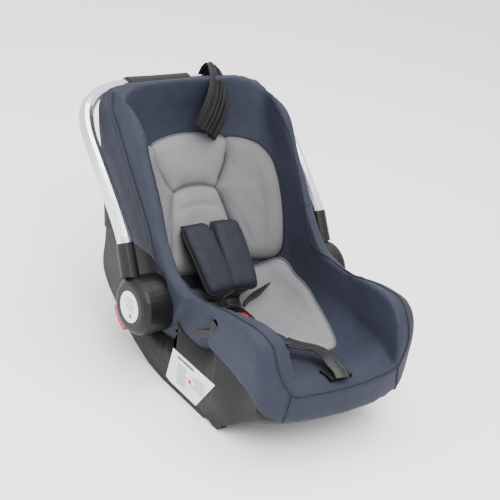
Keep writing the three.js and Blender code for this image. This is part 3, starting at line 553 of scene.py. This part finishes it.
def shell_body():
    body = barrel("shell_body", OUTER, 0)
    zone = side_block("under_cloth", [(y, z + OVERLAP) for y, z in CLOTH_EDGE])
    cut(body, zone, "DIFFERENCE")
    for side in (-1, 1):
        window = side_block("window", WINDOW, smooth=4)
        window.scale.x = WINDOW_SHARE
        window.location.x = side * WINDOW_SIDE
        bpy.context.view_layer.update()
        cut(body, window, "DIFFERENCE")
    return cut(body, barrel("hollow", INNER, 3, HEART), "DIFFERENCE")


shell = shell_body()
shell.data.materials.clear()
shell.data.materials.append(SHELL_PLASTIC)
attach(shell, "seat")
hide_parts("shell")

# ---- soft pieces laid on the lining ------------------------------------------------------
LINING = BVHTree.FromPolygons([tuple(v) for v in vertices(cover)],
                              [tuple(f.vertices) for f in cover.data.polygons])
# Side view of the middle of the back lining.
BACK_Z = [79, 128, 189, 312, 388]
BACK_Y = [60, 98, 131, 203, 221]
BACK_REACH = 150           # from the lining's middle to the line that the angles turn about


def cast(start, direction):
    """Where a ray meets the lining, with the normal turned back towards the start."""
    hit, normal, _, _ = LINING.ray_cast(start, direction)
    if hit is None:
        hit, normal, _, _ = LINING.find_nearest(start + direction * 0.15)
    return np.array(hit), np.array(normal if normal.dot(direction) < 0 else -normal)


def on_back(angle, z):
    """A point of the back lining, `angle` degrees round from its middle at height z."""
    a = math.radians(angle)
    start = at(0, float(np.interp(z, BACK_Z, BACK_Y)) - BACK_REACH, z)
    return cast(start, Vector((math.sin(a), math.cos(a), 0)))


def on_seat(x, y):
    """A point of the seat lining, seen from above."""
    return cast(at(x, y, 300), Vector((0, 0, -1)))


def flat_chart(centre, along, across=(1, 0, 0), bend=0.0):
    """A free plane through the centre; bend arches it along its length."""
    along = Vector(along).normalized()
    across = (Vector(across) - along * along.dot(Vector(across))).normalized()
    up = across.cross(along)
    if up.z < 0:
        up = -up

    def chart(u, v):
        p = at(*centre) + across * (u * MM) + along * (v * MM) - up * (bend * (v / 60) ** 2 * MM)
        return np.array(p), np.array(up)
    return chart


def puff(name, outline, chart, centre, thick, rim, cloth, piping, under=1.5, creases=(),
         wrinkle=0.7, pipe=1.9, rings=20, per=8):
    """A stuffed piece: full in the middle, thin at its piped edge, with creases pressed in."""
    edge = spline([(u, v) for u, v in outline], per, closed=True)
    c = np.array(centre, float)
    placed = [chart(*(c + (e - c) * (1 - k / rings))) for k in range(rings) for e in edge]
    placed.append(chart(*c))
    co, no = (np.array([q[i] for q in placed]) for i in (0, 1))
    sides = len(edge)
    border = np.vstack([co[:sides], co[:1]])
    full = np.clip(distance_to(co, border) / (rim * MM), 0, 1)
    height = thick * MM * np.sqrt(1 - (1 - full) ** 2)
    for line, width, depth in creases:
        path = np.array([chart(u, v)[0] for u, v in spline(line, 6)])
        height -= depth * MM * np.exp(-(distance_to(co, path) / (width * MM)) ** 2) * full
    height += np.array([noise.noise(Vector(q) * 42) + 0.5 * noise.noise(Vector(q) * 110)
                        for q in co]) * wrinkle * MM * full
    top, bottom = co + no * (height + 0.0006)[:, None], co - no * (under * MM)
    count = len(co)
    faces = []
    for base, flip in ((0, False), (count, True)):
        for k in range(rings):
            for i in range(sides):
                j = (i + 1) % sides
                if k == rings - 1:
                    f = (base + k * sides + i, base + k * sides + j, base + count - 1)
                else:
                    f = (base + k * sides + i, base + k * sides + j,
                         base + (k + 1) * sides + j, base + (k + 1) * sides + i)
                faces.append(f[::-1] if flip else f)
    faces += [(i, count + i, count + (i + 1) % sides, (i + 1) % sides) for i in range(sides)]
    body = make(name + "_body", np.vstack([top, bottom]), faces, cloth)
    line = border + np.vstack([no[:sides], no[:1]]) * (1.2 * MM - (under - 1.5) * 0.5 * MM)
    return join(name, [body, tube(name + "_piping", line, pipe * MM, piping)])


def mirror(outline):
    return [(-u, v) for u, v in outline]


def settle(obj, slot, *nodes, body="seat", fill=None):
    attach(obj, body)
    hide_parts(*nodes)


PILLOW = [(-29, 318), (-14, 327), (0, 329), (14, 327), (29, 318), (27, 286), (21, 258), (17, 243),
          (8, 249), (0, 250), (-8, 249), (-17, 243), (-21, 258), (-27, 286)]
BOLSTER = [(29.5, 320), (40, 321), (50, 316), (58, 303), (62, 280), (63, 240), (61, 195), (57, 158),
           (50, 139), (40, 131), (31, 131), (27, 160), (23.5, 195), (20.5, 225), (17.5, 241),
           (21.5, 257), (27.5, 286)]
BACK_PANEL = [(-17, 241), (-8, 247), (0, 248), (8, 247), (17, 241), (20, 225), (23, 195), (26, 160),
              (30, 128), (12, 118), (0, 116), (-12, 118), (-30, 128), (-26, 160), (-23, 195),
              (-20, 225)]
LEAF = [(3, 66), (50, 74), (100, 72), (134, 52), (144, 14), (142, -34), (130, -82), (112, -128),
        (92, -166), (74, -184), (56, -180), (44, -156), (32, -124), (18, -98), (4, -84), (2, -20)]
settle(puff("pillow", PILLOW, on_back, (0, 287), 15, 34, GREY_CLOTH, GREY_PIPING,
            creases=[([(-20, 300), (0, 304), (20, 300)], 9, 1.2)]),
       "grey_cloth", "insert_pillow", fill=0.7)
settle(puff("back_panel", BACK_PANEL, on_back, (0, 188), 13, 26, GREY_CLOTH, GREY_PIPING,
            creases=[([(-18, 214), (0, 219), (18, 214)], 5, 2.5), ([(-20, 176), (20, 176)], 5, 2)]),
       "grey_cloth", "insert_back", fill=0.6)
leaves = []
for side, name, turn in ((1, "left", lambda o: o), (-1, "right", mirror)):
    strokes = [(turn([(22, 226), (31, 196), (36, 160)]), 4, 2.2),
               (turn([(44, 300), (50, 240), (46, 180)]), 12, 1.0)]
    # the bolsters wear the darkened grey mesh, which is painted shade
    settle(puff("bolster_" + name, turn(BOLSTER), on_back, (side * 42, 228), 17, 30, GREY_PAINTED_SHADE,
                PIPING, creases=strokes), "grey_cloth", "insert_bolster_" + name, fill=0.7)
    strokes = [(turn([(40, 50), (60, -30), (74, -150)]), 4, 1.6),
               (turn([(90, 56), (100, -20), (90, -130)]), 5, 1.4),
               (turn([(20, 30), (36, -60), (60, -140)]), 4, 1.2)]
    leaves.append(puff("leaf_" + name, turn(LEAF), on_seat, (side * 74, -44), 9, 18, GREY_CLOTH,
                       GREY_PIPING, creases=strokes, wrinkle=1.4))
settle(join("seat_insert", leaves), "grey_cloth", "insert_seat", fill=0.5)

# ---- harness -----------------------------------------------------------------------------
STRAP_SECTION = [(-1, 0), (-0.95, 0.5), (-0.84, 0.5), (-0.81, 0.36), (-0.77, 0.36), (-0.74, 0.5),
                 (0, 0.55), (0.74, 0.5), (0.77, 0.36), (0.81, 0.36), (0.84, 0.5), (0.95, 0.5)]


def strap(name, points, width, across, thick=2.0):
    """Flat webbing along the points, with a stitched line near each edge."""
    line = evenly(spline([at(*q) for q in points], 8), 0.002)
    run = np.gradient(line, axis=0)
    run /= np.linalg.norm(run, axis=1)[:, None]
    side = np.array(across, float) - run * (run @ np.array(across, float))[:, None]
    side /= np.linalg.norm(side, axis=1)[:, None]
    face = np.cross(run, side)
    section = STRAP_SECTION + [(-u, -v) for u, v in STRAP_SECTION]
    rings = np.stack([line + side * (u * width / 2 * MM) + face * (v * thick * MM)
                      for u, v in section], 1)
    return make(name, *closed_rings(rings), WEBBING), line


PAD_OUTLINE = [(-24, -61), (0, -63), (24, -61), (28, -48), (29, 0), (28, 48), (24, 61), (0, 63),
               (-24, 61), (-28, 48), (-29, 0), (-28, -48)]
for side, name in ((1, "left"), (-1, "right")):
    route = [(22, 172, 148), (26, 172, 160), (31, 162, 173), (32, 142.5, 184), (32, 116, 198.5),
             (31.6, 95, 201), (28, 53, 166), (24, 6, 128), (20, 26, 96), (17, 15, 85.5)]
    obj, _ = strap("shoulder_" + name, [(side * x, y, z) for x, y, z in route], 30, (1, 0, 0))
    settle(obj, "webbing", "shoulder_strap_" + name)
    route = [(150, 66, 92), (128, 48, 90), (90, 30, 94), (56, 20, 91.5), (36.5, 13, 83.5)]
    obj, _ = strap("lap_" + name, [(side * x, y, z) for x, y, z in route], 26,
                   (-0.25 * side, -0.35, 0.9))
    settle(obj, "webbing", "lap_strap_" + name)
    plane = flat_chart((side * 28, 51, 168), (side * -8, -98, -80), bend=3)
    pad = puff("pad_" + name, PAD_OUTLINE, plane, (0, 0), 10, 15, PAD_CLOTH, BINDING,
               under=8, pipe=3.0, wrinkle=0.5,
               creases=[([(-18, -62), (-18, 62)], 1.6, 1.1), ([(18, -62), (18, 62)], 1.6, 1.1)])
    settle(pad, "navy_cloth", "shoulder_pad_" + name, fill=0.7)
obj, _ = strap("crotch", [(0, -128, 40), (0, -128, 72), (0, -125, 90), (0, -112, 94), (0, -80, 87.5),
                          (0, -47.5, 81.5)], 36, (1, 0, 0))
settle(obj, "webbing", "crotch_strap")
CROTCH_OUTLINE = [(-22, -31), (0, -32), (22, -31), (26, -22), (26, 0), (26, 22), (22, 31), (0, 32),
                  (-22, 31), (-26, 22), (-26, 0), (-26, -22)]
settle(puff("crotch_cushion", CROTCH_OUTLINE, flat_chart((0, -98, 90), (0, 1, -0.2)), (0, 0), 6, 11,
            PAD_CLOTH, BINDING, under=6, pipe=2.2, wrinkle=0.4), "navy_cloth", "crotch_pad", fill=0.6)
# It runs over the adjuster to 5 mm in front of it, about 28 mm past the CAD strap, because a
# declared cord is 0.15 m or longer.
TAIL = [(-3, -287, 129), (-1, -272, 134.5), (0, -256, 136.5), (3, -248, 136.5), (8, -236, 134.5),
        (14, -224, 130.5), (19, -210, 126), (21, -196, 122.5), (19, -182, 119), (14, -169, 115.5),
        (9, -157, 112.5), (5, -146, 110.5), (3, -138, 109.5)]
tail, tail_line = strap("tail", TAIL, 25, (1, 0, 0), 1.8)
settle(tail, "webbing", "adjuster_strap")
tail_length = float(np.linalg.norm(np.diff(tail_line, axis=0), axis=1).sum())
tuple(tail_line[0])
[tuple(q) for q in tail_line]

# ---- seams of the cover ------------------------------------------------------------------


def seam(name, points, radius, material, lift=0.3, both=True):
    """Piping or thread that follows the cover between the points."""
    pieces = []
    for side in (1, -1) if both else (1,):
        line = []
        for q in evenly(spline([at(side * x, y, z) for x, y, z in points], 8), 0.003):
            hit, normal, _, _ = LINING.find_nearest(Vector(q))
            line.append(np.array(hit) + np.array(normal) * lift * MM)
        line = np.array(line)
        for _ in range(3):
            line[1:-1] = (line[:-2] + 2 * line[1:-1] + line[2:]) / 4
        pieces.append(tube(name, line, radius * MM, material))
    obj = join(name, pieces)
    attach(obj, "seat")
    return obj


WING = [(158, 224, 414), (166, 184, 380), (167, 144, 343), (167, 100, 300), (167, 57, 258),
        (167, 20, 214), (167, -10, 183)]
seam("wing_piping", WING, 1.6, PIPING)
seam("wing_thread", [(x, y + 11, z - 9) for x, y, z in WING], 0.5, THREAD)
seam("rim_piping", [(139, -268, 205), (148, -214, 219), (148, -159, 208), (148, -81, 200),
                    (148, -12, 196), (148, 28, 252), (148, 75, 319), (148, 111, 364),
                    (140, 170, 404)], 1.5, PIPING)
seam("lip_piping", [(-112, -297, 127), (-60, -300, 127), (0, -301, 127), (60, -300, 127),
                    (112, -297, 127)], 1.6, PIPING, both=False)
seam("lobe_piping", [(112, -297, 127), (128, -290, 150), (138, -282, 178), (139, -268, 205)], 1.6,
     PIPING)
seam("corner_piping", [(112, -297, 127), (118, -306, 105), (122, -302, 78)], 1.6, PIPING)
seam("hood_piping", [(-118, 236, 412), (-60, 238, 424), (0, 238, 424), (60, 238, 424),
                     (118, 236, 412)], 1.5, PIPING, both=False)

# ---- canopy cloth gathered round the handle ----------------------------------------------
GATHER = [(20, 184, 340), (33, 189, 360), (50, 202, 382), (68, 228, 398), (86, 260, 405),
          (100, 290, 406), (106, 308, 397), (104, 312, 380), (98, 300, 366), (90, 288, 366)]
spine = evenly(spline([at(*q) for q in GATHER], 8), 0.003)
run, left, up = frames_along(spine)
share = np.linspace(0, 1, len(spine))
columns = []
for u in np.linspace(-1, 1, 91):
    half = np.interp(share, [0, 0.25, 0.6, 0.75, 1], [40, 36, 24, 16, 12]) * MM
    fold = np.interp(share, [0, 0.3, 0.7, 1], [6.5, 7.5, 5, 4]) * MM
    drift = 0.5 * math.sin(3.1 * u) * np.sin(share * 7 + 1.3)
    phase = 24 * u + 1.7 * math.sin(5 * u) + drift
    columns.append(spine + left * (half * (u + 0.09 * np.sin(2 * phase)))[:, None]
                   + up * (fold * (np.sin(phase) + 0.3 * np.sin(2.3 * phase + share * 5))
                           + 0.35 * half * (1 - u * u))[:, None])
cloth_grid = np.stack(columns, 1)
rows, cols = cloth_grid.shape[:2]
canopy = make("canopy", cloth_grid.reshape(-1, 3), [
    (r * cols + c, r * cols + c + 1, (r + 1) * cols + c + 1, (r + 1) * cols + c)
    for r in range(rows - 1) for c in range(cols - 1)], BINDING)
settle(canopy, "canopy_mesh", "canopy_cloth", body="handle")

# ---- marks on the labels -----------------------------------------------------------------


def marks(name, obj, x, rows, material):
    """Small printed bars on a label: [y, z, length, height] of each, laid 0.3 mm off the paper."""
    world = obj.matrix_world
    tree = BVHTree.FromPolygons([tuple(world @ v.co) for v in obj.data.vertices],
                                [tuple(f.vertices) for f in obj.data.polygons])
    verts, faces = [], []
    for y, z, length, height in rows:
        corners = []
        for a, b in ((0, 0), (1, 0), (1, 1), (0, 1)):
            start = at(x, y + a * length, z + b * height)
            hit, normal, _, _ = tree.ray_cast(start, Vector((-1 if x > 0 else 1, 0, 0)))
            if hit is None:
                break
            corners.append(hit + Vector((0.0003 if x > 0 else -0.0003, 0, 0)))
        if len(corners) == 4:
            faces.append(tuple(range(len(verts), len(verts) + 4)))
            verts += corners
    if faces:
        obj = make(name, verts, faces, material, smooth=False)
        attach(obj, "seat")


LABEL_TOP = (-52, -168)    # y of its upper edge's two ends
LABEL_BOTTOM = (-38, -126)
LABEL_HEIGHTS = (78, 11)   # z of its upper and lower edge
SIDE_FACE = -148           # x where the shell has no face for the label to lie on


def label_patch(rows=12, columns=16):
    """The paper label, stuck flat on the near side of the shell."""
    side = BVHTree.FromPolygons([tuple(v) for v in vertices(shell)],
                                [tuple(f.vertices) for f in shell.data.polygons])
    verts = []
    for j in range(rows + 1):
        for i in range(columns + 1):
            u, v = i / columns, j / rows
            upper, lower = (a + (b - a) * u for a, b in (LABEL_TOP, LABEL_BOTTOM))
            y = (1 - v) * upper + v * lower
            z = LABEL_HEIGHTS[0] + (LABEL_HEIGHTS[1] - LABEL_HEIGHTS[0]) * v
            start = at(-400, y, z)
            hit, _, _, _ = side.ray_cast(start, Vector((1, 0, 0)))
            verts.append((hit or at(SIDE_FACE, y, z)) - Vector((0.0006, 0, 0)))
    c = columns + 1
    faces = [(j * c + i, j * c + i + 1, (j + 1) * c + i + 1, (j + 1) * c + i)
             for j in range(rows) for i in range(columns)]
    return make("label", verts, faces, PAPER)


label = label_patch()
settle(label, "label_paper", "side_label")
rows = [(-112, 68, 46, 4)]
for k in range(9):
    rows.append((-146 + (k % 3) * 2, 60 - k * 4.6, 26 + (k * 7) % 9, 1.3))
    rows.append((-66 - (k % 2) * 3 - 26, 58 - k * 4.4, 22 + (k * 5) % 8, 1.3))
marks("label_rows", label, -300, rows, INK)
marks("label_mark", label, -300, [(-108, 40, 8, 8)], RED_INK)
for side, name in ((1, "left"), (-1, "right")):
    marks("sticker_rows_" + name, NODES["hub_sticker_" + name], side * 300,
          [(-9, 150, 18, 1.6), (-13, 144, 26, 1.2), (-12, 139, 20, 1.2), (-14, 134, 24, 1.2)], INK)
    marks("sticker_mark_" + name, NODES["hub_sticker_" + name], side * 300, [(-10, 121, 7, 7)], RED_INK)

# ---- carried-over CAD nodes --------------------------------------------------------------
CAD_LOOKS = {
    SHELL_PLASTIC: ["rear_foot"],
    PLASTIC: ["rocker_rail", "pivot_boss", "belt_guide", "buckle_body", "adjuster_housing",
              "handle_sleeve", "hub_disc"],
    ALUMINIUM: ["handle_tube"], GRIP: ["handle_grip"], RED: ["release_lever", "buckle_button"],
    STEEL: ["pivot_axle", "buckle_spring", "tongue", "adjuster_lever", "splitter_plate",
            "release_spring"],
    PAPER: ["hub_sticker"]}
for material, names in CAD_LOOKS.items():
    for name in names:
        for node in (name, name + "_left", name + "_right"):
            if node in NODES:
                obj = NODES[node]
                obj.data.materials.clear()
                obj.data.materials.append(material)

# ---- floor and light ---------------------------------------------------------------------
floor = make("floor", [(-6, -6, 0), (6, -6, 0), (6, 6, 0), (-6, 6, 0)], [(0, 1, 2, 3)],
             Paint("floor", (0.93, 0.928, 0.93), 0.9).material)


def area_light(name, position, target, size, power):
    light = bpy.data.objects.new(name, bpy.data.lights.new(name, "AREA"))
    bpy.context.scene.collection.objects.link(light)
    light.data.shape = "DISK"
    light.data.size = size
    light.data.energy = power
    light.location = position
    light.rotation_mode = "QUATERNION"
    light.rotation_quaternion = (Vector(target) - Vector(position)).to_track_quat("-Z", "Y")


area_light("key", (-0.9, -1.5, 2.2), (0, 0, 0.2), 1.6, 78)
area_light("top", (0.3, 0.2, 2.6), (0, 0, 0.2), 2.2, 66)
area_light("side", (-2.2, 0.3, 1.0), (0, 0, 0.25), 1.3, 26)
world = bpy.data.worlds.new("studio")
bpy.context.scene.world = world
world.use_nodes = True
world.node_tree.nodes["Background"].inputs["Color"].default_value = (0.95, 0.955, 0.965, 1)
world.node_tree.nodes["Background"].inputs["Strength"].default_value = 1.75
